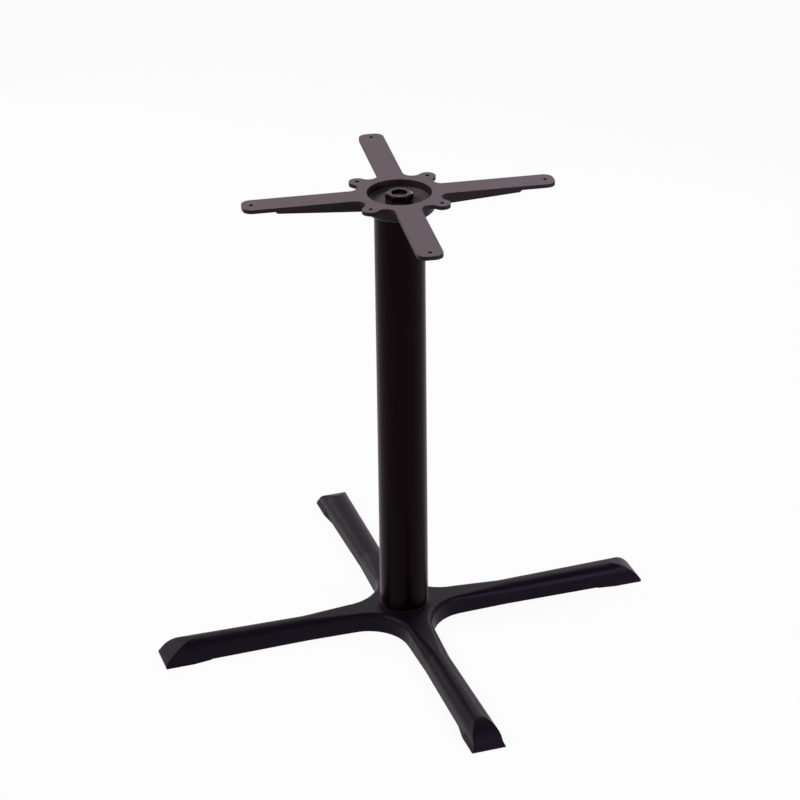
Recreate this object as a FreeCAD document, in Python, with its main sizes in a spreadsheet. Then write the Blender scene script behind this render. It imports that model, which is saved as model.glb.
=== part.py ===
import FreeCAD, Part

import math
import os
import re

import Sketcher

# Four star pedestal base for a dining table: a hollow cast cross on the floor, a tube column,
# a ribbed cast spider that the table top is screwed to, and one long tie rod that clamps the
# three together. Millimetres. The origin is on the floor, on the column's axis, +Z is up, and
# the arms of the cross lie along X and Y.

SIZES = [
    # alias, value, meaning
    ("overall_height", 732, "floor to the face that the table top lies on"),
    ("column_diameter", 76, "outside of the tube column"),
    ("column_wall", 2, "wall of the tube column"),
    ("base_reach", 396, "column axis to the toe of a base arm"),
    ("rim_lift", 1.2, "lower rims of hub and arms above the floor"),
    ("arm_draft", 6, "degrees that the flanks of the casting lean in"),
    ("root_half", 23, "half width of an arm where it leaves the hub"),
    ("foot_half", 24.2, "half width of an arm at its toe"),
    ("foot_height", 32.8, "crown of an arm at its toe"),
    ("foot_shoulder", 20, "radius between flank and crown of an arm at its toe"),
    ("shin_shrink", 3, "arm slimmer all round at its waist than at its toe"),
    ("waist_place", 165, "column axis to the waist of an arm"),
    ("crotch_radius", 66, "plan radius between two arms"),
    ("hub_height", 30, "flat top of the hub"),
    ("hub_edge", 8, "rounding of the hub's top edge"),
    ("hub_roof", 8, "thickness of the hub's roof"),
    ("casting_wall", 5.5, "wall of the base casting"),
    ("hollow_shoulder", 10, "corner cut between flank and roof of an arm's hollow"),
    ("pad_length", 74, "foot pad, back from the toe"),
    ("pad_start_half", 22.6, "half width of a foot pad at its start"),
    ("pad_flare", 30, "length in which a foot pad widens"),
    ("pad_half", 26.8, "half width of a foot pad on the floor"),
    ("pad_height", 10, "height at which a foot pad runs out into the flank"),
    ("pad_draft", 24, "degrees that the sides of a foot pad lean in"),
    ("toe_lip", 4, "upright lip at the end of the toe"),
    ("toe_radius", 60, "radius of the toe, seen from the side of an arm"),
    ("toe_clearing", 60, "height and reach of the cutter that rounds the toe"),
    ("seat_margin", 4.5, "raised seat past the column all round"),
    ("seat_rise", 1.8, "seat above the hub's flat top"),
    ("register_height", 8, "ring inside the column's foot"),
    ("register_wall", 4, "wall of that ring"),
    ("register_gap", 0.3, "clearance of that ring in the column"),
    ("rod_diameter", 24, "tie rod"),
    ("rod_gap", 0.5, "radial clearance of the rod in the castings"),
    ("rod_recess", 4.5, "upper end of the rod below the top of its nut"),
    ("rod_tail", 3, "rod past the lower nut"),
    ("rod_chamfer", 1.5, "chamfer on the rod's ends"),
    ("thread_gap", 0.1, "radial clearance of rod and stems in their threads"),
    ("nut_flats", 36, "thin nut across its flats"),
    ("nut_height", 10, "thin nut"),
    ("nut_recess", 0.3, "top nut below the table face"),
    ("nut_face", 34.5, "flat ring on the top nut's upper face"),
    ("nut_turn", -18, "degrees that the top nut is turned"),
    ("washer_diameter", 42, "washer outside"),
    ("washer_thickness", 4, "washer"),
    ("washer_gap", 0.5, "radial clearance of the rod in a washer"),
    ("spider_turn", -7, "degrees that the spider is turned from the base"),
    ("spider_reach", 234.3, "column axis to the tip of a spider arm"),
    ("spider_arm_width", 38.5, "spider arm"),
    ("tip_corner", 14, "corner radius at the tip of a spider arm"),
    ("plate_thickness", 6, "spider arms and ears"),
    ("arm_hole_inset", 13.8, "screw hole back from the tip of a spider arm"),
    ("screw_hole", 6.5, "screw holes in arms and ears"),
    ("ear_place", 75, "column axis to the screw hole in an ear"),
    ("ear_radius", 12.8, "round end of an ear"),
    ("ear_fillet", 14, "hollow curve between ear and arm"),
    ("well_rim", 6.5, "wall of the cup around the rim of the nut's well"),
    ("well_draft", 2.5, "that rim wider than the well above its corner cut"),
    ("well_corner", 4, "corner cut at the foot of the well's wall"),
    ("cup_wall", 14.5, "outside of the cup past the column, above its corner cut"),
    ("cup_flare", 2.5, "outside of the cup wider than that under the plate"),
    ("cup_corner", 4, "corner cut at the foot of the cup"),
    ("cup_depth", 28, "underside of the cup below the table face"),
    ("cup_floor", 5, "floor of the well"),
    ("socket_gap", 0.25, "radial clearance of the column in its socket"),
    ("rib_thickness", 7, "web under a spider arm"),
    ("rib_inset_tip", 49.3, "end of that web back from the tip of the arm"),
    ("rib_root_depth", 25, "web below the table face, at the cup"),
    ("rib_tip_depth", 16, "web below the table face, at its end"),
    ("rib_chamfer", 3, "corner cut at the end of the web"),
    ("rib_inset", 2, "web starts inside the wall of the cup by this"),
    ("glide_inset", 53, "axis of a levelling glide back from the toe"),
    ("glide_thread", 8, "stem of a levelling glide"),
    ("glide_boss", 20, "boss that the stem screws into"),
    ("glide_boss_low", 8.5, "underside of that boss above the floor"),
    ("glide_hole_depth", 16, "depth of the threaded hole"),
    ("glide_stem_top", 22, "upper end of a stem above the floor"),
    ("glide_foot_diameter", 24, "moulded foot of a glide"),
    ("glide_foot_height", 7, "moulded foot of a glide"),
    ("glide_floor_gap", 0.8, "glide's foot above the floor when screwed home"),
    ("glide_stem_seat", 4, "stem moulded into the foot"),
    ("tool_over", 1, "cutters run past the faces that they cut, and pads into what they join"),
]

ARMS = 4
NUT_CORNERS = 6

VALUES = dict((alias, value) for alias, value, meaning in SIZES)
WORD = re.compile("[a-z][a-z_]+")

# Places that several pieces share, each written once from the sizes.
SEAT = "(hub_height + seat_rise)"
WELL_FLOOR = "(nut_recess + nut_height + washer_thickness)"
COLUMN_TOP = "(overall_height - " + WELL_FLOOR + " - cup_floor)"
HUB_REACH = "(root_half + crotch_radius)"
ROOF_LOW = "(hub_height - hub_roof)"
TOE_RUN = "sqrt((foot_height - toe_lip) * (2 * toe_radius - foot_height + toe_lip))"
CROWN_END = "(base_reach - " + TOE_RUN + ")"
PAD_START = "(base_reach - pad_length)"
GLIDE_PLACE = "(base_reach - glide_inset)"
CUP_RADIUS = "(column_diameter / 2 + cup_wall)"
RIB_END = "(spider_reach - rib_inset_tip)"
ROD_RADIUS = "(rod_diameter / 2)"
ROD_HOLE = "(rod_diameter / 2 + rod_gap)"


def cell(text):
    """A formula in aliases, as an expression that reads the size sheet."""
    text = str(text)
    return WORD.sub(lambda word: "sizes." + word.group() if word.group() in VALUES else word.group(), text)


def size_sheet(doc):
    sheet = doc.addObject("Spreadsheet::Sheet", "sizes")
    for row, (alias, value, meaning) in enumerate(SIZES, start=1):
        sheet.set("A%d" % row, meaning)
        sheet.set("B%d" % row, str(value))
        sheet.setAlias("B%d" % row, alias)
    doc.recompute()


def number(item, text):
    """The present value of a formula in aliases."""
    result = item.evalExpression(cell(text))
    return float(getattr(result, "Value", result))


def origin_item(body, role):
    for item in body.Origin.OriginFeatures:
        if item.Role == role:
            return item


def new_body(doc, label):
    body = doc.addObject("PartDesign::Body", label)
    body.Label = label
    return body


def new_sketch(body, name, plane, offset="0"):
    sketch = body.newObject("Sketcher::SketchObject", name)
    sketch.AttachmentSupport = [(origin_item(body, plane), "")]
    sketch.MapMode = "FlatFace"
    sketch.setExpression(".AttachmentOffset.Base.z", cell(offset))
    return sketch


def bind(sketch, constraint, name, text):
    index = sketch.addConstraint(constraint)
    sketch.renameConstraint(index, name)
    sketch.setExpression("Constraints." + name, cell(text))


def arc_between(start, end, radius, hollow):
    """The short arc from start to end, and which of its ends lies at start."""
    chord = end - start
    middle = (start + end) * 0.5
    left = FreeCAD.Vector(-chord.y, chord.x, 0).normalize()
    rise = math.sqrt(max(radius ** 2 - (chord.Length / 2) ** 2, 0.0))
    centre = middle - left * rise if hollow else middle + left * rise
    first, last = (end, start) if hollow else (start, end)
    circle = Part.Circle(centre, FreeCAD.Vector(0, 0, 1), radius)
    from_angle = math.atan2(first.y - centre.y, first.x - centre.x)
    to_angle = math.atan2(last.y - centre.y, last.x - centre.x)
    return Part.ArcOfCircle(circle, from_angle, to_angle)


def outline(sketch, corners, tag=""):
    """Closed outline, anticlockwise. A corner is (x, y), with a radius where an arc leads on to
    the next corner, and the word hollow where that arc curves inwards."""
    points = [FreeCAD.Vector(number(sketch, c[0]), number(sketch, c[1]), 0) for c in corners]
    ends = []
    for i, corner in enumerate(corners):
        start, end = points[i], points[(i + 1) % len(points)]
        if len(corner) == 2:
            index = sketch.addGeometry(Part.LineSegment(start, end), False)
            ends.append((index, 1, 2))
        else:
            hollow = len(corner) == 4
            radius = number(sketch, corner[2])
            index = sketch.addGeometry(arc_between(start, end, radius, hollow), False)
            ends.append((index, 2, 1) if hollow else (index, 1, 2))
    for i, corner in enumerate(corners):
        index, first, last = ends[i]
        following, onward, unused = ends[(i + 1) % len(ends)]
        sketch.addConstraint(Sketcher.Constraint("Coincident", index, last, following, onward))
        bind(sketch, Sketcher.Constraint("DistanceX", index, first, points[i].x), tag + "x%d" % i, corner[0])
        bind(sketch, Sketcher.Constraint("DistanceY", index, first, points[i].y), tag + "y%d" % i, corner[1])
        if len(corner) > 2:
            radius = number(sketch, corner[2])
            bind(sketch, Sketcher.Constraint("Radius", index, radius), tag + "r%d" % i, corner[2])


def ring(sketch, x, y, radius, tag="c"):
    """A full circle."""
    centre = FreeCAD.Vector(number(sketch, x), number(sketch, y), 0)
    size = number(sketch, radius)
    index = sketch.addGeometry(Part.Circle(centre, FreeCAD.Vector(0, 0, 1), size), False)
    bind(sketch, Sketcher.Constraint("DistanceX", index, 3, centre.x), tag + "x", x)
    bind(sketch, Sketcher.Constraint("DistanceY", index, 3, centre.y), tag + "y", y)
    bind(sketch, Sketcher.Constraint("Radius", index, size), tag + "r", radius)


def arch(sketch, half, height, shoulder, low="rim_lift", plain=False):
    """Section of a cast arm: flanks that lean in, shoulders and a flat crown. The shoulders are
    round, or in a plain section cut straight."""
    middle = "(%s - (%s + (%s - %s - %s) * sin(arm_draft)) / cos(arm_draft))" % (
        half, shoulder, height, low, shoulder)
    side_x = "%s + %s * cos(arm_draft)" % (middle, shoulder)
    side_y = "%s - %s + %s * sin(arm_draft)" % (height, shoulder, shoulder)
    bend = () if plain else (shoulder,)
    outline(sketch, [
        ("-(%s)" % half, low),
        (half, low),
        (side_x, side_y) + bend,
        (middle, height),
        ("-" + middle, height) + bend,
        ("-(%s)" % side_x, side_y),
    ])


def pad(body, name, sketch, length, draft=None, both_ways=False, down=False):
    feature = body.newObject("PartDesign::Pad", name)
    feature.Profile = sketch
    feature.setExpression("Length", cell(length))
    feature.Midplane = both_ways
    feature.Reversed = down
    if draft:
        feature.setExpression("TaperAngle", cell("-" + draft))
    return feature


def pocket(body, name, sketch, length, draft=None, both_ways=False, upward=False):
    feature = body.newObject("PartDesign::Pocket", name)
    feature.Profile = sketch
    feature.setExpression("Length", cell(length))
    feature.Midplane = both_ways
    feature.Reversed = upward
    if draft:
        feature.setExpression("TaperAngle", cell("-" + draft))
    return feature


def spin(body, kind, name, sketch):
    """Revolution or Groove, all the way round Z."""
    feature = body.newObject("PartDesign::" + kind, name)
    feature.Profile = sketch
    feature.ReferenceAxis = (origin_item(body, "Z_Axis"), [""])
    feature.Angle = 360
    return feature


def loft(body, name, sections, cut=False):
    """Loft through sections along an arm. A cut runs straight from each section to the next."""
    feature = body.newObject("PartDesign::SubtractiveLoft" if cut else "PartDesign::AdditiveLoft", name)
    feature.Profile = sections[0]
    feature.Sections = sections[1:]
    feature.Ruled = cut
    return feature


def around(body, name, features):
    """The same features on all the arms."""
    pattern = body.newObject("PartDesign::PolarPattern", name)
    pattern.Originals = features
    pattern.Axis = (origin_item(body, "Z_Axis"), [""])
    pattern.Angle = 360
    pattern.Occurrences = ARMS
    body.Tip = pattern
    return pattern


def turned(doc, label, corners):
    """A piece turned on a lathe: its half section, swung round Z."""
    body = new_body(doc, label)
    sketch = new_sketch(body, label + "_section", "XZ_Plane")
    outline(sketch, corners)
    spin(body, "Revolution", label + "_turning", sketch)
    return body


def star(sketch, half, radius, stub):
    """Plan of the hub: a hollow curve between each two arms, and a straight stub of each arm."""
    turn = "(%s + %s)" % (half, radius)
    end = "(%s + %s)" % (turn, stub)
    back, low, out = "-" + half, "-" + turn, "-" + end
    outline(sketch, [
        (end, back), (end, half), (turn, half, radius, "hollow"), (half, turn),
        (half, end), (back, end), (back, turn, radius, "hollow"), (low, half),
        (out, half), (out, back), (low, back, radius, "hollow"), (back, low),
        (back, out), (half, out), (half, low, radius, "hollow"), (turn, back),
    ])


def base_hub(doc, body):
    """Flat topped centre of the cross, with its top edge rounded between the arms."""
    plan = new_sketch(body, "hub_plan", "XY_Plane", "rim_lift")
    star(plan, "root_half", "crotch_radius", "hub_height")
    block = pad(body, "hub_block", plan, "hub_height - rim_lift", draft="arm_draft")
    doc.recompute()
    top = number(body, "hub_height")
    edges = []
    for i, edge in enumerate(block.Shape.Edges, start=1):
        middle = edge.valueAt((edge.FirstParameter + edge.LastParameter) / 2)
        level = all(abs(vertex.Z - top) < 0.01 for vertex in edge.Vertexes)
        if level and min(abs(middle.x), abs(middle.y)) > 1:
            edges.append("Edge%d" % i)
    rounding = body.newObject("PartDesign::Fillet", "hub_rounding")
    rounding.Base = (block, edges)
    rounding.setExpression("Radius", cell("hub_edge"))
    ends = new_sketch(body, "hub_ends", "XY_Plane", "hub_height + tool_over")
    square(ends, HUB_REACH)
    square(ends, "(%s + 2 * hub_height)" % HUB_REACH, "o")
    pocket(body, "hub_trim", ends, "hub_height + 2 * tool_over")


def square(sketch, half, tag=""):
    back = "-" + half
    outline(sketch, [(back, back), (half, back), (half, half), (back, half)], tag)


def arm_section(body, name, place, half, height, shoulder, low="rim_lift", plain=False):
    sketch = new_sketch(body, name, "YZ_Plane", place)
    arch(sketch, half, height, shoulder, low, plain)
    return sketch


def base_arm(body):
    """One arm of the cross, its foot pad, its rounded toe and its hollow, open below."""
    offset = "shin_shrink * (tan(arm_draft) + 1 / cos(arm_draft))"
    root = arm_section(body, "arm_root", HUB_REACH, "root_half", "hub_height", "hub_edge")
    waist = arm_section(body, "arm_waist", "waist_place", "(foot_half - %s)" % offset,
                        "(foot_height - shin_shrink)", "(foot_shoulder - shin_shrink)")
    neck = loft(body, "arm_neck", [root, waist])
    end = arm_section(body, "arm_foot", "base_reach", "foot_half", "foot_height", "foot_shoulder",
                      "(rim_lift - shin_shrink)")
    slant = "atan(shin_shrink / (base_reach - waist_place))"
    shin = pad(body, "arm_shin", end, "base_reach - waist_place", draft=slant, down=True)
    rim = new_sketch(body, "rim_side", "XZ_Plane")
    outline(rim, [
        ("waist_place - tool_over", "-2 * shin_shrink"), ("base_reach + tool_over", "-2 * shin_shrink"),
        ("base_reach + tool_over", "rim_lift"), ("waist_place - tool_over", "rim_lift"),
    ])
    trim = pocket(body, "rim_trim", rim, "4 * foot_half", both_ways=True)
    plan = new_sketch(body, "pad_plan", "XY_Plane")
    outline(plan, [
        (PAD_START, "-pad_start_half"), (PAD_START + " + pad_flare", "-pad_half"),
        ("base_reach + pad_height", "-pad_half"), ("base_reach + pad_height", "pad_half"),
        (PAD_START + " + pad_flare", "pad_half"), (PAD_START, "pad_start_half"),
    ])
    foot = pad(body, "foot_pad", plan, "pad_height", draft="pad_draft")
    nose = new_sketch(body, "toe_side", "XZ_Plane")
    outline(nose, [
        ("base_reach", "-tool_over"), ("base_reach + toe_clearing", "-tool_over"),
        ("base_reach + toe_clearing", "toe_clearing"), (CROWN_END, "toe_clearing"),
        (CROWN_END, "foot_height", "toe_radius", "hollow"), ("base_reach", "toe_lip"),
    ])
    toe = pocket(body, "toe_cut", nose, "4 * foot_half", both_ways=True)
    return [neck, shin, trim, foot, toe] + arm_hollow(body)


def arm_hollow(body):
    """Hollow of an arm, open below: a long tapered core, and one that drops under the rounded toe."""
    half, low = "(foot_half - casting_wall)", "-4 * shin_shrink"
    under_toe = "(foot_height - toe_radius + sqrt((toe_radius - casting_wall)^2 - (%s)^2))"
    middle, last = TOE_RUN + " / 2", TOE_RUN + " - 2 * casting_wall"
    end = arm_section(body, "hollow_end", CROWN_END, half, "(foot_height - casting_wall)",
                      "hollow_shoulder", low, plain=True)
    halfway = arm_section(body, "toe_hollow_middle", CROWN_END + " + " + middle, half, under_toe % middle,
                          "hollow_shoulder", low, plain=True)
    tip = arm_section(body, "toe_hollow_tip", CROWN_END + " + " + last, half, under_toe % last,
                      "(hollow_shoulder / 2)", low, plain=True)
    run = "(%s - %s + casting_wall)" % (CROWN_END, HUB_REACH)
    slant = "atan(shin_shrink / (base_reach - waist_place))"
    arm_core = pocket(body, "arm_core", end, run, draft=slant)
    toe_core = loft(body, "toe_core", [end, halfway, tip], cut=True)
    return [arm_core, toe_core]


def glide_boss(body):
    """Boss in the hollow of the foot, with the threaded hole of the glide."""
    disc = new_sketch(body, "boss_plan", "XY_Plane", "glide_boss_low")
    ring(disc, GLIDE_PLACE, "0", "glide_boss / 2")
    boss = pad(body, "glide_boss_pad", disc, "foot_height - casting_wall / 2 - glide_boss_low")
    hole = new_sketch(body, "glide_hole_plan", "XY_Plane", "glide_boss_low")
    ring(hole, GLIDE_PLACE, "0", "glide_thread / 2 + thread_gap")
    drilled = pocket(body, "glide_hole", hole, "glide_hole_depth", upward=True)
    return [boss, drilled]


def base_casting(doc):
    """Hollow cast cross with the seat and register for the column and the rod's hole."""
    body = new_body(doc, "base_casting")
    base_hub(doc, body)
    arm = base_arm(body)
    around(body, "four_arms", arm)
    plan = new_sketch(body, "hub_hollow_plan", "XY_Plane")
    star(plan, "(root_half - casting_wall)", "(crotch_radius + casting_wall)", "casting_wall")
    pocket(body, "hub_hollow", plan, ROOF_LOW, draft="arm_draft", upward=True)
    bosses = glide_boss(body)
    around(body, "four_bosses", bosses)
    seat = new_sketch(body, "seat_plan", "XY_Plane", ROOF_LOW + " + tool_over")
    ring(seat, "0", "0", "column_diameter / 2 + seat_margin")
    pad(body, "seat", seat, SEAT + " - " + ROOF_LOW + " - tool_over")
    register = new_sketch(body, "register_plan", "XY_Plane", SEAT + " - tool_over")
    ring(register, "0", "0", "column_diameter / 2 - column_wall - register_gap", "o")
    ring(register, "0", "0", "column_diameter / 2 - column_wall - register_gap - register_wall", "i")
    pad(body, "register", register, "register_height + tool_over")
    hole = new_sketch(body, "rod_hole_plan", "XY_Plane")
    ring(hole, "0", "0", ROD_HOLE)
    pocket(body, "rod_hole", hole, SEAT + " + tool_over", upward=True)
    return body


def column(doc):
    """Tube between the seat on the base and the socket under the spider."""
    outer, inner = "column_diameter / 2", "column_diameter / 2 - column_wall"
    return turned(doc, "column", [(inner, SEAT), (outer, SEAT), (outer, COLUMN_TOP), (inner, COLUMN_TOP)])


def spider_plate(body):
    """An arm with its rounded tip, and the ear beside it with the hollow curves that join both."""
    half, over = "(spider_arm_width / 2)", "(spider_reach - tip_corner)"
    plan = new_sketch(body, "arm_plan", "XY_Plane", "-plate_thickness")
    outline(plan, [
        ("0", "-" + half), (over, "-" + half, "tip_corner"),
        ("spider_reach", "-(%s - tip_corner)" % half), ("spider_reach", half + " - tip_corner", "tip_corner"),
        (over, half), ("0", half),
    ])
    arm = pad(body, "arm_plate", plan, "plate_thickness")
    ear = "(ear_place / sqrt(2))"
    curve_y = "(%s + ear_fillet)" % half
    curve_x = "(%s + sqrt((ear_radius + ear_fillet)^2 - (%s - %s)^2))" % (ear, curve_y, ear)
    share = "ear_radius / (ear_radius + ear_fillet)"
    meet_x = "(%s + (%s - %s) * %s)" % (ear, curve_x, ear, share)
    meet_y = "(%s + (%s - %s) * %s)" % (ear, curve_y, ear, share)
    corner = new_sketch(body, "ear_plan", "XY_Plane", "-plate_thickness")
    outline(corner, [
        ("0", "0"), (curve_x, "0"), (curve_x, half, "ear_fillet", "hollow"), (meet_x, meet_y),
        (ear, ear), (meet_y, meet_x, "ear_fillet", "hollow"), (half, curve_x), ("0", curve_x),
    ])
    web = pad(body, "ear_web", corner, "plate_thickness")
    disc = new_sketch(body, "ear_end_plan", "XY_Plane", "-plate_thickness")
    ring(disc, ear, ear, "ear_radius")
    end = pad(body, "ear_end", disc, "plate_thickness")
    return [arm, web, end]


def spider_rib(body):
    """Web under an arm, deepest at the cup."""
    side = new_sketch(body, "rib_side", "XZ_Plane")
    top = "-(plate_thickness - tool_over / 2)"
    outline(side, [
        (CUP_RADIUS + " - rib_inset", "-rib_root_depth"), (RIB_END + " - rib_chamfer", "-rib_tip_depth"),
        (RIB_END, "-(rib_tip_depth - rib_chamfer)"), (RIB_END, top),
        (CUP_RADIUS + " - rib_inset", top),
    ])
    return pad(body, "rib", side, "rib_thickness", both_ways=True)


def spider_cup(body):
    """Cup under the middle of the plate: the nut's well above, the column's socket below."""
    cup = new_sketch(body, "cup_section", "XZ_Plane")
    top = "-(plate_thickness - tool_over / 2)"
    outline(cup, [
        ("0", "-cup_depth"), (CUP_RADIUS + " - cup_corner", "-cup_depth"),
        (CUP_RADIUS, "-(cup_depth - cup_corner)"), (CUP_RADIUS + " + cup_flare", top), ("0", top),
    ])
    spin(body, "Revolution", "cup", cup)
    well = new_sketch(body, "well_section", "XZ_Plane")
    rim = "(%s + cup_flare - well_rim)" % CUP_RADIUS
    low = "(%s - well_draft)" % rim
    outline(well, [
        ("0", "-" + WELL_FLOOR), (low + " - well_corner", "-" + WELL_FLOOR),
        (low, "-(%s - well_corner)" % WELL_FLOOR), (rim, "0"), (rim, "tool_over"),
        ("0", "tool_over"),
    ])
    spin(body, "Groove", "well", well)
    bore = new_sketch(body, "socket_section", "XZ_Plane")
    socket = "column_diameter / 2 + socket_gap"
    depth = "-(%s + cup_floor)" % WELL_FLOOR
    under = "-(cup_depth + tool_over)"
    outline(bore, [("0", under), (socket, under), (socket, depth), ("0", depth)])
    spin(body, "Groove", "socket", bore)
    hole = new_sketch(body, "spider_rod_plan", "XY_Plane")
    ring(hole, "0", "0", ROD_HOLE)
    pocket(body, "spider_rod_hole", hole, "cup_depth")


def top_spider(doc):
    """Cast cross that the table top is screwed to."""
    body = new_body(doc, "top_spider")
    around(body, "four_plates", spider_plate(body))
    rib = spider_rib(body)
    around(body, "four_ribs", [rib])
    spider_cup(body)
    tip = new_sketch(body, "arm_hole_plan", "XY_Plane")
    ring(tip, "spider_reach - arm_hole_inset", "0", "screw_hole / 2")
    ear = new_sketch(body, "ear_hole_plan", "XY_Plane")
    ring(ear, "ear_place / sqrt(2)", "ear_place / sqrt(2)", "screw_hole / 2")
    arm_hole = pocket(body, "arm_hole", tip, "2 * plate_thickness")
    ear_hole = pocket(body, "ear_hole", ear, "2 * plate_thickness")
    around(body, "eight_holes", [arm_hole, ear_hole])
    body.Placement = FreeCAD.Placement(
        FreeCAD.Vector(0, 0, number(body, "overall_height")),
        FreeCAD.Rotation(FreeCAD.Vector(0, 0, 1), number(body, "spider_turn")))
    return body


def tie_rod(doc):
    """Threaded rod from under the base to just inside the top nut."""
    low = "(%s - washer_thickness - nut_height - rod_tail)" % ROOF_LOW
    high = "(overall_height - nut_recess - rod_recess)"
    neck = "(%s - rod_chamfer)" % ROD_RADIUS
    return turned(doc, "tie_rod", [
        ("0", low), (neck, low), (ROD_RADIUS, low + " + rod_chamfer"),
        (ROD_RADIUS, high + " - rod_chamfer"), (neck, high), ("0", high),
    ])


def washer(doc, label, low):
    hole, rim = ROD_RADIUS + " + washer_gap", "washer_diameter / 2"
    high = low + " + washer_thickness"
    return turned(doc, label, [(hole, low), (rim, low), (rim, high), (hole, high)])


def nut(doc, label, low, turn, chamfered):
    """Thin hexagon nut. In the one that shows, the upper corners are rounded off."""
    body = new_body(doc, label)
    plan = new_sketch(body, label + "_plan", "XY_Plane", low)
    corner = "nut_flats / 2 / cos(30)"
    angles = [360 * i // NUT_CORNERS for i in range(NUT_CORNERS)]
    outline(plan, [("%s * cos(%d)" % (corner, a), "%s * sin(%d)" % (corner, a)) for a in angles])
    ring(plan, "0", "0", ROD_RADIUS + " + thread_gap", "bore")
    pad(body, label + "_blank", plan, "nut_height")
    if chamfered:
        high = low + " + nut_height"
        face, past = "nut_face / 2", "nut_flats"
        fall = "(%s - %s) * tan(30)" % (past, face)
        above = new_sketch(body, label + "_upper_cut", "XZ_Plane")
        outline(above, [(face, high), (past, "%s - %s" % (high, fall)), (past, high)])
        spin(body, "Groove", label + "_upper_chamfer", above)
    body.Placement.Rotation = FreeCAD.Rotation(FreeCAD.Vector(0, 0, 1), turn)
    return body


def clamp_hardware(doc):
    """Nut and washer in the well of the spider, and nut and washer under the hub."""
    well_floor = "(overall_height - %s)" % WELL_FLOOR
    under = "(%s - washer_thickness)" % ROOF_LOW
    return [
        washer(doc, "top_washer", well_floor),
        nut(doc, "top_nut", "(%s + washer_thickness)" % well_floor, VALUES["nut_turn"], True),
        washer(doc, "bottom_washer", under),
        nut(doc, "bottom_nut", "(%s - nut_height)" % under, 0, False),
    ]


def glide(doc, count):
    """Levelling glide, screwed home: a threaded stem moulded into a round foot."""
    low, high = "glide_floor_gap", "(glide_floor_gap + glide_foot_height)"
    stem, rim = "(glide_thread / 2)", "(glide_foot_diameter / 2)"
    socket = "(%s - glide_stem_seat)" % high
    foot = turned(doc, "glide_foot_%d" % (count + 1), [
        ("0", low), (rim, low), (rim, high), (stem, high), (stem, socket), ("0", socket),
    ])
    pin = turned(doc, "glide_stem_%d" % (count + 1), [
        ("0", socket), (stem, socket), (stem, "glide_stem_top"), ("0", "glide_stem_top"),
    ])
    turn = math.radians(count * 360 / ARMS)
    reach = number(foot, GLIDE_PLACE)
    place = FreeCAD.Vector(reach * math.cos(turn), reach * math.sin(turn), 0)
    for body in (foot, pin):
        body.Placement.Base = place
    return [foot, pin]


def check(doc, bodies):
    for item in doc.Objects:
        bad = [word for word in item.State if word in ("Invalid", "Error")]
        if bad:
            raise RuntimeError("%s is %s" % (item.Label, bad))
    for body in bodies:
        shape = body.Shape
        if shape.isNull() or not shape.isValid():
            raise RuntimeError("%s has no valid shape" % body.Label)
        if len(shape.Solids) != 1:
            raise RuntimeError("%s has %d solids" % (body.Label, len(shape.Solids)))


def main():
    doc = FreeCAD.newDocument("four_star_table_base")
    size_sheet(doc)
    bodies = [base_casting(doc), column(doc), top_spider(doc), tie_rod(doc)]
    bodies += clamp_hardware(doc)
    for count in range(ARMS):
        bodies += glide(doc, count)
    doc.recompute()
    check(doc, bodies)
    os.makedirs("parts", exist_ok=True)
    for body in bodies:
        body.Shape.exportStep("parts/%s.step" % body.Label)
        print("%-16s %12.1f mm3" % (body.Label, body.Shape.Volume))


main()
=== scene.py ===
"""Finishes, small machined detail and studio for a four star pedestal table base."""
import math

import bmesh
import bpy
from mathutils import Matrix, Vector


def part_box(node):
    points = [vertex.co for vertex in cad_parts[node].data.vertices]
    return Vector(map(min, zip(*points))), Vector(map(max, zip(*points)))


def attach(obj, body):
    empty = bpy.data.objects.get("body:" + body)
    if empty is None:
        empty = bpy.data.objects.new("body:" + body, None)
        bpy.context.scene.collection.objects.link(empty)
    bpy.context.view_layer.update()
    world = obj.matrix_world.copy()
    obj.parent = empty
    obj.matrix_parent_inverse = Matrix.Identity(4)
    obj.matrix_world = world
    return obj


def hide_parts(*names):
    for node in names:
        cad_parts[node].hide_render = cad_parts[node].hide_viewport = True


bl_info = {
    "name": "Four Star Table Base",
    "version": (1, 0, 0),
    "blender": (4, 5, 0),
    "location": "View3D > Sidebar > Table Base",
    "description": "Cast star, tube column and ribbed spider of a pedestal table base, with its finishes",
    "category": "Object",
}

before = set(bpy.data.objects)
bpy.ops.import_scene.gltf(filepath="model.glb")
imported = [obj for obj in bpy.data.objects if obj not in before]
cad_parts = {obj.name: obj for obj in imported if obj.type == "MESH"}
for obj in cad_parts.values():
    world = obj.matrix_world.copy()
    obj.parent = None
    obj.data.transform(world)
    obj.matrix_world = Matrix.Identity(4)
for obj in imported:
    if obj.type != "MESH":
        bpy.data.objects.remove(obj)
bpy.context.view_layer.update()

GLIDES = ("1", "2", "3", "4")

# Tints of a coat's reflections, plain white among them, and the tint and roughness of its sheen
PLAIN = (1.0, 1.0, 1.0, 1.0)
CAST_GLOSS = (0.95, 0.70, 1.0, 1.0)
TUBE_GLOSS = (1.0, 0.60, 0.68, 1.0)
BLOOM_TINT = (1.0, 0.55, 0.7, 1.0)
BLOOM_ROUGHNESS = 0.25

# Rays that find out where an edge is, so that the light can be rounded over it
BEVEL_SAMPLES = 6

# Noise scales of the soft patches of dust, the stains on steel and the paper of the floor
PATCH_SCALE = 9.0
STAIN_SCALE = 160.0
PAPER_SCALE = 3.0

# Brightness of the floor's paper in its darker places, as a share of its colour
PAPER_SHADE = 0.985

# Spans of a noise: below its span a mask is at its least, and above it at its full strength
PATCH_SPAN = (0.35, 0.75)
GRAIN_SPAN = (0.4, 0.75)
FINE_SPAN = (0.3, 0.6)
MIDDLE_SPAN = (0.3, 0.7)
STAIN_SPAN = (0.35, 0.7)

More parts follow.
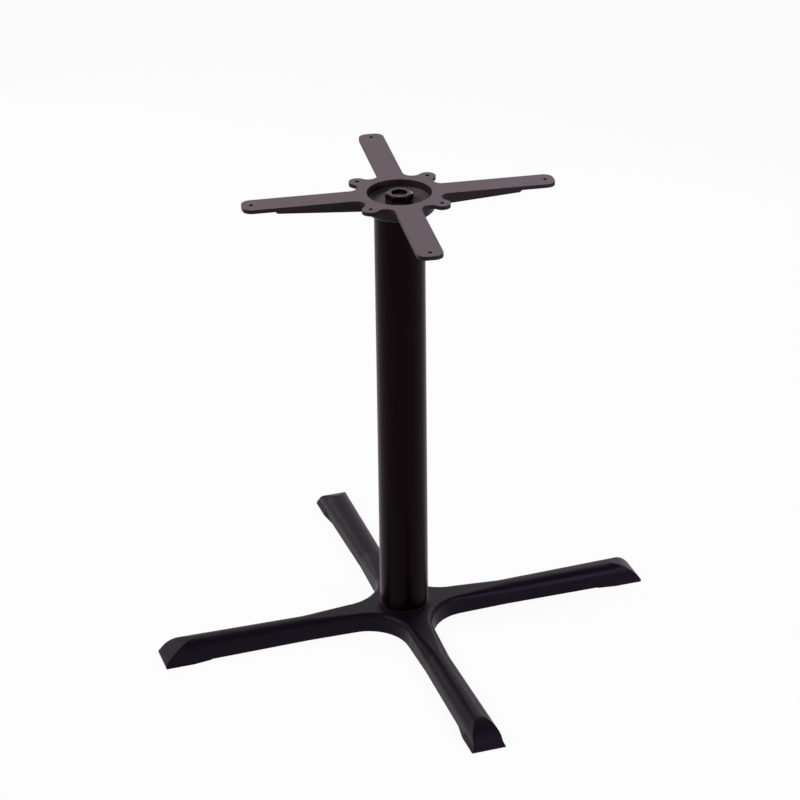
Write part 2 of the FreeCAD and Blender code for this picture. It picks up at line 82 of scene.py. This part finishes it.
# On faces that look up dust settles, and the same mask paints them lighter as painted top light: the span
# of the normal's Z, and the roughness of the dust
UPWARD_SPAN = (0.55, 0.95)
DUST_ROUGHNESS = 0.72

# The least strength of dust: scattered dust between grains, and the upward dust with its painted top light
# between grains and between patches
SCATTERED_LEAST = 0.15
SETTLED_AND_TOP_LIGHT_LEAST = 0.8
PATCHES_LEAST = 0.86

# Shares of the fine grain, the turned rings and the stains in a relief
GRAIN_RELIEF = 0.12
RING_RELIEF = 0.3
STAIN_RELIEF = 0.7

# A thread's depth as a share of its pitch, the rings of points in one pitch, and how many gaps between
# rings the rings go on beyond a thread: enough for one plain ring
THREAD_DEPTH = 0.54
RINGS_IN_PITCH = 4
RINGS_BEYOND = 1.5

# Share of plain white in what the camera sees of the floor, also in reflections
FLOOR_WHITE = 0.93

# Bend and wall of the cove round the floor, in metres, and the steps of its bend and of its turn
COVE_BEND = 1.5
COVE_WALL = 5.0
COVE_STEPS = 8
COVE_TURNS = 72

# Softboxes: name, place, width and height in metres, power in watts and tint. The places turn with
# the camera round the column, and all softboxes aim at one point of it.
LIGHT_AIM = (0, 0, 0.4)
SOFTBOXES = (
    ("backdrop_softbox", (0.0, 2.8, 1.75), 3.2, 1.7, 17, (1, 1, 1)),
    ("key_softbox", (-2.2, -0.3, 2.4), 1.5, 1.5, 60, (1, 0.98, 0.96)),
    ("right_back_softbox", (0.75, 1.5, 1.15), 0.8, 0.9, 9, (0.88, 0.84, 1)),
    ("left_back_softbox", (-1.5, 1.9, 0.7), 1.2, 0.9, 8, (1, 0.86, 0.96)),
    ("right_front_softbox", (0.95, -0.75, 0.75), 0.45, 0.45, 7.5, (0.88, 0.84, 1)),
    ("front_fill", (1.0, -3.2, 1.8), 1.6, 1.6, 3, (1, 1, 1)),
)

# Width of the camera's sensor in millimetres, and how far it sees in metres
SENSOR_WIDTH = 36.0
FAR_CLIP = 100.0

# Steps across and down between nodes in the shader editor, and the nodes in one row
NODE_STEP = 220
NODE_DROP = 260
NODES_IN_ROW = 9


# Settings

class TableBasePaint(bpy.types.PropertyGroup):
    """Colours and surface of the coats, the steel and the nylon."""
    cast_colour: bpy.props.FloatVectorProperty(
        name="Star coat", description="Powder coat on the cast star", subtype="COLOR",
        size=3, min=0, max=1, default=(0.0038, 0.0022, 0.0048))
    tube_colour: bpy.props.FloatVectorProperty(
        name="Column coat", description="Powder coat on the tube column", subtype="COLOR",
        size=3, min=0, max=1, default=(0.0010, 0.0003, 0.0005))
    spider_colour: bpy.props.FloatVectorProperty(
        name="Spider coat", description="Matt, dusty powder coat on the cast spider", subtype="COLOR",
        size=3, min=0, max=1, default=(0.012, 0.006, 0.008))
    # Pale colour of dust and of painted top light on the upper faces of the spider
    spider_dust_and_top_light: bpy.props.FloatVectorProperty(
        name="Spider dust", description="Pale dust on the upper faces of the spider", subtype="COLOR",
        size=3, min=0, max=1, default=(0.166, 0.123, 0.138))
    nut_colour: bpy.props.FloatVectorProperty(
        name="Nut coat", description="Black coat on the top nut and its washer", subtype="COLOR",
        size=3, min=0, max=1, default=(0.0040, 0.0022, 0.0026))
    steel_colour: bpy.props.FloatVectorProperty(
        name="Blackened steel", description="Tie rod, bottom nut and its washer", subtype="COLOR",
        size=3, min=0, max=1, default=(0.05, 0.045, 0.047))
    zinc_colour: bpy.props.FloatVectorProperty(
        name="Zinc plate", description="Stems of the levelling glides", subtype="COLOR",
        size=3, min=0, max=1, default=(0.50, 0.50, 0.49))
    nylon_colour: bpy.props.FloatVectorProperty(
        name="Nylon", description="Moulded feet of the levelling glides", subtype="COLOR",
        size=3, min=0, max=1, default=(0.022, 0.022, 0.022))
    grain_size: bpy.props.FloatProperty(
        name="Powder grain", description="Width of one grain of the powder coat", unit="LENGTH",
        default=0.0011, min=0.0002)
    cast_size: bpy.props.FloatProperty(
        name="Casting skin", description="Width of the waves of the sand casting's skin", unit="LENGTH",
        default=0.012, min=0.002)
    edge_round: bpy.props.FloatProperty(
        name="Edge rounding", description="Radius of the coat over a sharp edge", unit="LENGTH",
        default=0.0012, min=0.0)


class TableBaseThreads(bpy.types.PropertyGroup):
    """Threads of the tie rod and of the levelling glides."""
    rod_pitch: bpy.props.FloatProperty(
        name="Rod pitch", description="Pitch of the tie rod's thread", unit="LENGTH", default=0.003)
    rod_length: bpy.props.FloatProperty(
        name="Rod thread", description="Length of thread at each end of the tie rod", unit="LENGTH",
        default=0.045)
    stem_pitch: bpy.props.FloatProperty(
        name="Stem pitch", description="Pitch of a glide's stem", unit="LENGTH", default=0.00125)


class TableBaseStudio(bpy.types.PropertyGroup):
    """Camera and light."""
    camera_away: bpy.props.FloatProperty(
        name="Camera distance", description="From the column's axis, along the floor", unit="LENGTH",
        default=3.7624)
    camera_height: bpy.props.FloatProperty(
        name="Camera height", description="Above the floor", unit="LENGTH", default=2.3380)
    camera_turn: bpy.props.FloatProperty(
        name="Camera azimuth", description="Round the column, from the side of -Y", unit="ROTATION",
        subtype="ANGLE", default=math.radians(-18.031))
    camera_tilt: bpy.props.FloatProperty(
        name="Camera tilt", description="Below the horizon", unit="ROTATION", subtype="ANGLE",
        default=0.47846)
    camera_roll: bpy.props.FloatProperty(
        name="Camera roll", description="Turn about the line of sight", unit="ROTATION",
        subtype="ANGLE", default=-0.01214)
    lens: bpy.props.FloatProperty(
        name="Lens", description="Focal length in millimetres on a 36 mm sensor", default=124.78)
    shift_x: bpy.props.FloatProperty(
        name="Shift across", description="Lens shift, as a share of the picture", default=-0.002235)
    shift_y: bpy.props.FloatProperty(
        name="Shift up", description="Lens shift, as a share of the picture", default=0.000625)
    floor_colour: bpy.props.FloatVectorProperty(
        name="Floor", description="Studio floor", subtype="COLOR", size=3, min=0, max=1,
        default=(0.8, 0.8, 0.8))
    floor_gap: bpy.props.FloatProperty(
        name="Floor gap", description="How far the floor lies below the feet", unit="LENGTH",
        default=0.0003)
    cove_radius: bpy.props.FloatProperty(
        name="Cove radius", description="Distance at which the floor rises into the wall",
        unit="LENGTH", default=14.0)
    room_level: bpy.props.FloatProperty(
        name="Room light", description="Brightness of the room around the object", default=0.2)


# Node helpers

class Nodes:
    """A node tree whose nodes are laid out row by row."""

    def __init__(self, tree):
        self.tree = tree
        self.column = 0

    def add(self, kind, inputs=None, **settings):
        """Adds a node. An input's value is a number, a colour, or a socket to link it to."""
        node = self.tree.nodes.new(kind)
        self.column += 1
        node.location = (NODE_STEP * (self.column % NODES_IN_ROW),
                         -NODE_DROP * (self.column // NODES_IN_ROW))
        for name, value in settings.items():
            setattr(node, name, value)
        for name, value in (inputs or {}).items():
            socket = node.inputs[name]
            if isinstance(value, bpy.types.NodeSocket):
                self.tree.links.new(value, socket)
            else:
                socket.default_value = value
        return node

    def noise(self, vector, scale, detail, rough):
        node = self.add("ShaderNodeTexNoise", {"Vector": vector, "Scale": scale, "Detail": detail,
                                               "Roughness": rough})
        return node.outputs["Fac"]

    def maths(self, operation, first, second):
        node = self.add("ShaderNodeMath", {0: first, 1: second}, operation=operation)
        return node.outputs[0]

    def spread(self, value, span, least=0.0, most=1.0):
        """Maps a span of the value onto the range from least to most, and holds its ends."""
        node = self.add("ShaderNodeMapRange", {"Value": value, "From Min": span[0], "From Max": span[1],
                                               "To Min": least, "To Max": most})
        return node.outputs["Result"]

    def blend(self, factor, first, second):
        """Mixes two colours. A Mix node's colour sockets are reached by their places in its lists."""
        node = self.add("ShaderNodeMix", data_type="RGBA")
        for index, value in ((0, factor), (6, first), (7, second)):
            if isinstance(value, bpy.types.NodeSocket):
                self.tree.links.new(value, node.inputs[index])
            else:
                node.inputs[index].default_value = value
        return node.outputs[2]


def shade(colour, level):
    """The colour made lighter or darker, and held at white."""
    return tuple(min(1.0, c * level) for c in colour)


def rgba(colour, level=1.0):
    """The same with an opaque alpha."""
    return shade(colour, level) + (1.0,)


def new_group(name, sockets_in, sockets_out):
    """Starts a shader node group: its tree, its node helper and the sockets of its inputs."""
    group = bpy.data.node_groups.new(name, "ShaderNodeTree")
    for label, kind, value in sockets_in:
        socket = group.interface.new_socket(label, in_out="INPUT", socket_type=kind)
        if value is not None:
            socket.default_value = value
    for label, kind in sockets_out:
        group.interface.new_socket(label, in_out="OUTPUT", socket_type=kind)
    nodes = Nodes(group)
    entry = nodes.add("NodeGroupInput")
    return group, nodes, entry.outputs


def close_group(nodes, results):
    """Links the results to the group's outputs."""
    leave = nodes.add("NodeGroupOutput")
    for label, socket in results.items():
        nodes.tree.links.new(socket, leave.inputs[label])


def powder_group():
    """Powder coat: fine grain over the waves of the surface below, with dust in large soft patches
    and, on the faces that look up, settling dust with painted top light that makes those faces lighter."""
    name = "Powder coat"
    if name in bpy.data.node_groups:
        return bpy.data.node_groups[name]
    group, nodes, given = new_group(name, [
        ("Vector", "NodeSocketVector", None), ("Coat", "NodeSocketColor", (0.02, 0.02, 0.02, 1)),
        ("Dust and Top Light", "NodeSocketColor", (0.05, 0.05, 0.05, 1)), ("Grain Scale", "NodeSocketFloat", 900.0),
        ("Wave Scale", "NodeSocketFloat", 80.0), ("Wave Depth", "NodeSocketFloat", 1.0),
        ("Smooth", "NodeSocketFloat", 0.32), ("Rough", "NodeSocketFloat", 0.45),
        ("Facing", "NodeSocketVector", None), ("Settled and Top Light", "NodeSocketFloat", 0.0),
        ("Patches", "NodeSocketFloat", 1.0),
    ], [("Colour", "NodeSocketColor"), ("Roughness", "NodeSocketFloat"), ("Height", "NodeSocketFloat")])
    grain = nodes.noise(given["Vector"], given["Grain Scale"], detail=2.0, rough=0.6)
    waves = nodes.noise(given["Vector"], given["Wave Scale"], detail=3.0, rough=0.5)
    patches = nodes.noise(given["Vector"], PATCH_SCALE, detail=4.0, rough=0.6)
    scattered = nodes.maths("MULTIPLY", nodes.spread(patches, PATCH_SPAN),
                            nodes.spread(grain, GRAIN_SPAN, SCATTERED_LEAST))
    scattered = nodes.maths("MULTIPLY", scattered, given["Patches"])
    # Faces that look up take the pale colour as settling dust and as painted top light that makes them
    # lighter
    upward = nodes.add("ShaderNodeSeparateXYZ", {"Vector": given["Facing"]}).outputs["Z"]
    settled_and_top_light = nodes.maths("MULTIPLY", nodes.spread(upward, UPWARD_SPAN),
                          nodes.spread(grain, FINE_SPAN, SETTLED_AND_TOP_LIGHT_LEAST))
    settled_and_top_light = nodes.maths("MULTIPLY", settled_and_top_light, nodes.spread(patches, MIDDLE_SPAN, PATCHES_LEAST))
    settled_and_top_light = nodes.maths("MULTIPLY", settled_and_top_light, given["Settled and Top Light"])
    colour = nodes.blend(nodes.maths("MAXIMUM", scattered, settled_and_top_light), given["Coat"], given["Dust and Top Light"])
    worn = nodes.maths("MULTIPLY", nodes.maths("ADD", grain, patches), 0.5)
    rough = nodes.spread(worn, MIDDLE_SPAN, given["Smooth"], given["Rough"])
    rough = nodes.maths("MAXIMUM", rough, nodes.maths("MULTIPLY", settled_and_top_light, DUST_ROUGHNESS))
    height = nodes.maths("ADD", nodes.maths("MULTIPLY", grain, GRAIN_RELIEF),
                         nodes.maths("MULTIPLY", waves, given["Wave Depth"]))
    close_group(nodes, {"Colour": colour, "Roughness": rough, "Height": height})
    return group


def turned_group():
    """Turned or rolled steel: fine rings, and stains of a darker film."""
    name = "Turned steel"
    if name in bpy.data.node_groups:
        return bpy.data.node_groups[name]
    group, nodes, given = new_group(name, [
        ("Vector", "NodeSocketVector", None), ("Steel", "NodeSocketColor", (0.3, 0.3, 0.3, 1)),
        ("Film", "NodeSocketColor", (0.05, 0.05, 0.05, 1)), ("Ring Scale", "NodeSocketFloat", 900.0),
        ("Smooth", "NodeSocketFloat", 0.3), ("Rough", "NodeSocketFloat", 0.5),
    ], [("Colour", "NodeSocketColor"), ("Roughness", "NodeSocketFloat"), ("Height", "NodeSocketFloat")])
    wave = nodes.add("ShaderNodeTexWave", {"Vector": given["Vector"], "Scale": given["Ring Scale"],
                                           "Distortion": 1.5, "Detail": 2.0},
                     wave_type="RINGS", rings_direction="Z")
    stain = nodes.noise(given["Vector"], STAIN_SCALE, detail=4.0, rough=0.6)
    colour = nodes.blend(nodes.spread(stain, STAIN_SPAN), given["Film"], given["Steel"])
    rough = nodes.spread(stain, MIDDLE_SPAN, given["Rough"], given["Smooth"])
    height = nodes.maths("ADD", nodes.maths("MULTIPLY", wave.outputs["Fac"], RING_RELIEF),
                         nodes.maths("MULTIPLY", stain, STAIN_RELIEF))
    close_group(nodes, {"Colour": colour, "Roughness": rough, "Height": height})
    return group


def new_material(name):
    """An empty material and the helper that fills its node tree."""
    material = bpy.data.materials.new(name)
    material.use_nodes = True
    material.node_tree.nodes.clear()
    return material, Nodes(material.node_tree)


def finish(name, group, values, bump, metallic=0.0, specular=0.5, edge=0.0, bloom=0.0,
           gloss_tint=PLAIN):
    """A Principled material around one of the effect groups. bump is the height of its relief and edge
    the radius of the coat over a sharp edge, both in metres."""
    material, nodes = new_material(name)
    place = nodes.add("ShaderNodeTexCoord")
    effect = nodes.add("ShaderNodeGroup", node_tree=group)
    nodes.tree.links.new(place.outputs["Object"], effect.inputs["Vector"])
    if "Facing" in effect.inputs:
        nodes.tree.links.new(place.outputs["Normal"], effect.inputs["Facing"])
    for label, value in values.items():
        effect.inputs[label].default_value = value
    relief = nodes.add("ShaderNodeBump", {"Height": effect.outputs["Height"], "Distance": bump,
                                          "Strength": 1.0})
    if edge > 0:
        rounded = nodes.add("ShaderNodeBevel", {"Radius": edge}, samples=BEVEL_SAMPLES)
        nodes.tree.links.new(rounded.outputs["Normal"], relief.inputs["Normal"])
    shader = nodes.add("ShaderNodeBsdfPrincipled", {
        "Base Color": effect.outputs["Colour"], "Roughness": effect.outputs["Roughness"],
        "Normal": relief.outputs["Normal"], "Metallic": metallic, "Specular IOR Level": specular,
        "Specular Tint": gloss_tint, "Sheen Weight": bloom, "Sheen Roughness": BLOOM_ROUGHNESS,
        "Sheen Tint": BLOOM_TINT})
    nodes.add("ShaderNodeOutputMaterial", {"Surface": shader.outputs["BSDF"]})
    return material


def paint(name, colour, dust, grain, wave, depth, smooth, rough, bump, edge, specular=0.5,
          bloom=0.0, gloss_tint=PLAIN, settled_and_top_light=0.0, patches=1.0):
    """A coat. grain and wave are widths in metres, depth is the waves' share of the relief, smooth and
    rough are the ends of its roughness, dust is the pale colour of dust and of painted top light,
    patches is the amount of dust in patches, and the upward amount paints dust and top light on the
    faces that look up."""
    return finish(name, powder_group(), {
        "Coat": rgba(colour), "Dust and Top Light": rgba(dust), "Settled and Top Light": settled_and_top_light, "Patches": patches,
        "Grain Scale": 1.0 / grain, "Wave Scale": 1.0 / wave, "Wave Depth": depth,
        "Smooth": smooth, "Rough": rough,
    }, bump, specular=specular, edge=edge, bloom=bloom, gloss_tint=gloss_tint)


def dress(node, material):
    """Gives a node of the frame its finish."""
    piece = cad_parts[node]
    piece.data.materials.clear()
    piece.data.materials.append(material)


def new_object(name, data):
    """An object of this data, linked to the scene."""
    made = bpy.data.objects.new(name, data)
    bpy.context.scene.collection.objects.link(made)
    return made


# Threads

def threaded_rod(name, low, high, radius, pitch, stretches, chamfer, steps):
    """A rod along Z with threads cut in some stretches of it. The crests keep the rod's radius, and
    each end has a chamfer. steps is the number of points round the rod. Rings of points stand along the
    threads, and the plain rod runs straight from one ring to the next."""
    depth = THREAD_DEPTH * pitch
    rings = int(round((high - low) / (pitch / RINGS_IN_PITCH)))
    beyond = RINGS_BEYOND * (high - low) / rings
    heights = [low + (high - low) * ring / rings for ring in range(rings + 1)]
    heights = [z for z in heights if any(bottom - beyond <= z <= top + beyond for bottom, top in stretches)]
    verts, faces = [], []
    for z in heights:
        widest = radius - chamfer + min(z - low, high - z)
        threaded = any(bottom <= z <= top for bottom, top in stretches)
        for k in range(steps):
            turn = 2 * math.pi * k / steps
            r = radius
            if threaded:
                phase = ((z - low) / pitch - k / steps) % 1.0
                r = radius - depth * (1 - abs(2 * phase - 1))
            r = min(r, widest)
            verts.append((r * math.cos(turn), r * math.sin(turn), z))
    last = (len(heights) - 1) * steps
    for start in range(0, last, steps):
        for k in range(steps):
            here, after = start + k, start + (k + 1) % steps
            faces.append((here, after, after + steps, here + steps))
    faces.append(tuple(reversed(range(steps))))
    faces.append(tuple(range(last, last + steps)))
    mesh = bpy.data.meshes.new(name)
    mesh.from_pydata(verts, [], faces)
    mesh.validate()
    mesh.update()
    for polygon in mesh.polygons:
        polygon.use_smooth = len(polygon.vertices) == 4
    return new_object(name, mesh)


# Operators

class TABLEBASE_OT_castings(bpy.types.Operator):
    """Coats the cast star on the floor and the cast spider under the table top"""
    bl_idname = "table_base.castings"
    bl_label = "Castings"

    def execute(self, context):
        coat = context.scene.table_base_paint
        dress("base_casting", paint(
            "satin black coat on cast star", coat.cast_colour, shade(coat.cast_colour, level=2.0),
            grain=coat.grain_size, wave=coat.cast_size, depth=1.0, smooth=0.34, rough=0.48,
            bump=0.00022, edge=coat.edge_round, specular=0.10, bloom=0.15, gloss_tint=CAST_GLOSS))
        # The spider's pale colour is dust in a few patches and, on the faces that look up, dust with
        # painted top light that keeps them much lighter than its dark sides
        dress("top_spider", paint(
            "matt black coat on cast spider", coat.spider_colour, coat.spider_dust_and_top_light,
            grain=coat.grain_size, wave=coat.cast_size, depth=0.8, smooth=0.42, rough=0.58,
            bump=0.00030, edge=coat.edge_round, specular=0.12, settled_and_top_light=0.95, patches=0.1))
        return {"FINISHED"}


class TABLEBASE_OT_column(bpy.types.Operator):
    """Coats the tube column"""
    bl_idname = "table_base.column"
    bl_label = "Column"

    def execute(self, context):
        coat = context.scene.table_base_paint
        dress("column", paint(
            "satin black coat on tube", coat.tube_colour, shade(coat.tube_colour, level=1.6),
            grain=coat.grain_size, wave=0.03, depth=0.35, smooth=0.27, rough=0.38,
            bump=0.00006, edge=coat.edge_round, specular=0.06, bloom=0.8, gloss_tint=TUBE_GLOSS))
        return {"FINISHED"}


class TABLEBASE_OT_clamp(bpy.types.Operator):
    """Nuts, washers and the threaded tie rod"""
    bl_idname = "table_base.clamp"
    bl_label = "Nuts, washers and tie rod"

    def execute(self, context):
        coat = context.scene.table_base_paint
        thread = context.scene.table_base_threads
        # The pale colour at fourteen times the coat is dust and painted top light: it lightens the faces of
        # the nut and washer that look up
        dark = paint(
            "black coat on nut", coat.nut_colour, shade(coat.nut_colour, level=14.0),
            grain=coat.grain_size, wave=0.01, depth=0.3, smooth=0.32, rough=0.42,
            bump=0.0001, edge=0.0008, specular=0.15, settled_and_top_light=0.6, patches=0.1)
        for node in ("top_nut", "top_washer"):
            dress(node, dark)
        steel = finish("blackened steel", turned_group(), {
            "Steel": rgba(coat.steel_colour, level=2.0), "Film": rgba(coat.steel_colour),
            "Ring Scale": 260.0, "Smooth": 0.32, "Rough": 0.5,
        }, bump=0.00005, metallic=1.0, edge=0.0006)
        for node in ("bottom_nut", "bottom_washer"):
            dress(node, steel)
        low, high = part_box("tie_rod")
        ends = [(low.z, low.z + thread.rod_length), (high.z - thread.rod_length, high.z)]
        rod = threaded_rod("tie_rod_threads", low.z, high.z, (high.x - low.x) / 2,
                           thread.rod_pitch, ends, chamfer=0.0015, steps=36)
        rod.data.materials.append(steel)
        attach(rod, "base")
        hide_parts("tie_rod")
        return {"FINISHED"}


class TABLEBASE_OT_glides(bpy.types.Operator):
    """Levelling glides in the hollow feet"""
    bl_idname = "table_base.glides"
    bl_label = "Levelling glides"

    def execute(self, context):
        coat = context.scene.table_base_paint
        thread = context.scene.table_base_threads
        nylon = paint(
            "black nylon", coat.nylon_colour, shade(coat.nylon_colour, level=1.6),
            grain=0.0006, wave=0.02, depth=0.2, smooth=0.42, rough=0.55, bump=0.00006, edge=0.0005)
        zinc = finish("zinc plate", turned_group(), {
            "Steel": rgba(coat.zinc_colour), "Film": rgba(coat.zinc_colour, level=0.7),
            "Ring Scale": 400.0, "Smooth": 0.28, "Rough": 0.42,
        }, bump=0.00003, metallic=1.0)
        for number in GLIDES:
            dress("glide_foot_" + number, nylon)
            node = "glide_stem_" + number
            low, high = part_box(node)
            middle = (low + high) / 2
            stem = threaded_rod("glide_thread_" + number, low.z, high.z, (high.x - low.x) / 2,
                                thread.stem_pitch, [(low.z, high.z)], chamfer=0.0009, steps=20)
            stem.data.transform(Matrix.Translation((middle.x, middle.y, 0)))
            stem.data.materials.append(zinc)
            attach(stem, "glide_" + number)
            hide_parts(node)
        return {"FINISHED"}


def soft_light(name, place, width, height, power, colour):
    """A softbox that the camera doesn't see."""
    lamp = bpy.data.lights.new(name, "AREA")
    lamp.shape = "RECTANGLE"
    lamp.size, lamp.size_y = width, height
    lamp.energy = power
    lamp.color = colour
    softbox = new_object(name, lamp)
    softbox.location = place
    softbox.visible_camera = False
    softbox.rotation_euler = (Vector(LIGHT_AIM) - place).to_track_quat("-Z", "Y").to_euler()


def photo_camera(studio):
    """Camera at the photograph's angle: turned round the column, tilted down and rolled a little."""
    tilt, roll = studio.camera_tilt, studio.camera_roll
    ahead = Vector((0, math.cos(tilt), -math.sin(tilt)))
    right = Vector((1, 0, 0))
    up = right.cross(ahead)
    rolled_right = right * math.cos(roll) + up * math.sin(roll)
    rolled_up = up * math.cos(roll) - right * math.sin(roll)
    turn = Matrix.Rotation(studio.camera_turn, 4, "Z")
    pose = Matrix((rolled_right, rolled_up, -ahead)).transposed().to_4x4()
    pose.translation = (0, -studio.camera_away, studio.camera_height)
    data = bpy.data.cameras.new("photo_camera")
    data.sensor_width = SENSOR_WIDTH
    data.lens = studio.lens
    data.clip_end = FAR_CLIP
    data.shift_x, data.shift_y = studio.shift_x, studio.shift_y
    camera = new_object("photo_camera", data)
    camera.matrix_world = turn @ pose
    bpy.context.scene.camera = camera


def floor_material(colour):
    """White floor that still takes a soft shadow: most of what the camera and reflections see is
    plain white, and the rest is the lit floor."""
    material, nodes = new_material("studio floor")
    place = nodes.add("ShaderNodeTexCoord").outputs["Object"]
    paper = nodes.noise(place, PAPER_SCALE, detail=2.0, rough=0.55)
    tone = nodes.blend(paper, rgba(colour, PAPER_SHADE), rgba(colour))
    lit = nodes.add("ShaderNodeBsdfPrincipled", {"Base Color": tone, "Roughness": 0.9,
                                                 "Specular IOR Level": 0.0})
    white = nodes.add("ShaderNodeEmission", {"Color": (1, 1, 1, 1), "Strength": 1.0})
    path = nodes.add("ShaderNodeLightPath").outputs
    seen = nodes.maths("MAXIMUM", path["Is Camera Ray"], path["Is Glossy Ray"])
    seen = nodes.maths("MAXIMUM", seen, path["Is Transmission Ray"])
    share = nodes.maths("MULTIPLY", seen, FLOOR_WHITE)
    mixed = nodes.add("ShaderNodeMixShader", {0: share, 1: lit.outputs["BSDF"],
                                              2: white.outputs["Emission"]})
    nodes.add("ShaderNodeOutputMaterial", {"Surface": mixed.outputs["Shader"]})
    return material


def studio_cove(studio):
    """Round floor that rises into a wall far from the object on all sides, a hair below its feet."""
    profile = []
    for step in range(COVE_STEPS + 1):
        angle = math.pi / 2 * step / COVE_STEPS
        radius = studio.cove_radius - COVE_BEND + COVE_BEND * math.sin(angle)
        profile.append((radius, COVE_BEND - COVE_BEND * math.cos(angle)))
    profile.append((studio.cove_radius, COVE_WALL))
    mesh = bmesh.new()
    rings = []
    for radius, height in profile:
        ring = []
        for k in range(COVE_TURNS):
            turn = 2 * math.pi * k / COVE_TURNS
            ring.append(mesh.verts.new((radius * math.cos(turn), radius * math.sin(turn), height)))
        rings.append(ring)
    mesh.faces.new(rings[0])
    for inner, outer in zip(rings, rings[1:]):
        for k in range(COVE_TURNS):
            after = (k + 1) % COVE_TURNS
            wall = mesh.faces.new((inner[k], outer[k], outer[after], inner[after]))
            wall.smooth = True
    data = bpy.data.meshes.new("studio_floor")
    mesh.to_mesh(data)
    mesh.free()
    data.materials.append(floor_material(studio.floor_colour))
    floor = new_object("studio_floor", data)
    floor.location.z = -studio.floor_gap
    return floor


class TABLEBASE_OT_studio(bpy.types.Operator):
    """Floor, soft lights and the camera"""
    bl_idname = "table_base.studio"
    bl_label = "Studio"

    def execute(self, context):
        scene = context.scene
        studio = scene.table_base_studio
        scene.view_settings.view_transform = "Standard"
        world = bpy.data.worlds.new("studio room")
        world.use_nodes = True
        back = world.node_tree.nodes["Background"]
        level = studio.room_level
        back.inputs["Color"].default_value = (level, level, level, 1)
        back.inputs["Strength"].default_value = 1.0
        scene.world = world
        studio_cove(studio)
        turn = Matrix.Rotation(studio.camera_turn, 4, "Z")
        for name, place, width, height, power, tint in SOFTBOXES:
            soft_light(name, turn @ Vector(place), width, height, power, tint)
        photo_camera(studio)
        return {"FINISHED"}


class TABLEBASE_PT_panel(bpy.types.Panel):
    """The pieces of the table base, in the order in which they are finished"""
    bl_idname = "TABLEBASE_PT_panel"
    bl_label = "Table Base"
    bl_space_type = "VIEW_3D"
    bl_region_type = "UI"
    bl_category = "Table Base"

    def draw(self, context):
        for step in STEPS:
            self.layout.operator(step.bl_idname)
        for settings in (context.scene.table_base_paint, context.scene.table_base_threads,
                         context.scene.table_base_studio):
            box = self.layout.box()
            for name in settings.bl_rna.properties.keys():
                if name not in ("name", "rna_type"):
                    box.prop(settings, name)


STEPS = (TABLEBASE_OT_castings, TABLEBASE_OT_column, TABLEBASE_OT_clamp, TABLEBASE_OT_glides,
         TABLEBASE_OT_studio)
SETTINGS = (("table_base_paint", TableBasePaint), ("table_base_threads", TableBaseThreads),
            ("table_base_studio", TableBaseStudio))


def register():
    for name, group in SETTINGS:
        bpy.utils.register_class(group)
        setattr(bpy.types.Scene, name, bpy.props.PointerProperty(type=group))
    for step in STEPS:
        bpy.utils.register_class(step)
    bpy.utils.register_class(TABLEBASE_PT_panel)


def unregister():
    bpy.utils.unregister_class(TABLEBASE_PT_panel)
    for step in reversed(STEPS):
        bpy.utils.unregister_class(step)
    for name, group in reversed(SETTINGS):
        delattr(bpy.types.Scene, name)
        bpy.utils.unregister_class(group)


def main():
    register()
    bpy.ops.table_base.castings()
    bpy.ops.table_base.column()
    bpy.ops.table_base.clamp()
    bpy.ops.table_base.glides()
    bpy.ops.table_base.studio()


if __name__ == "__main__":
    main()
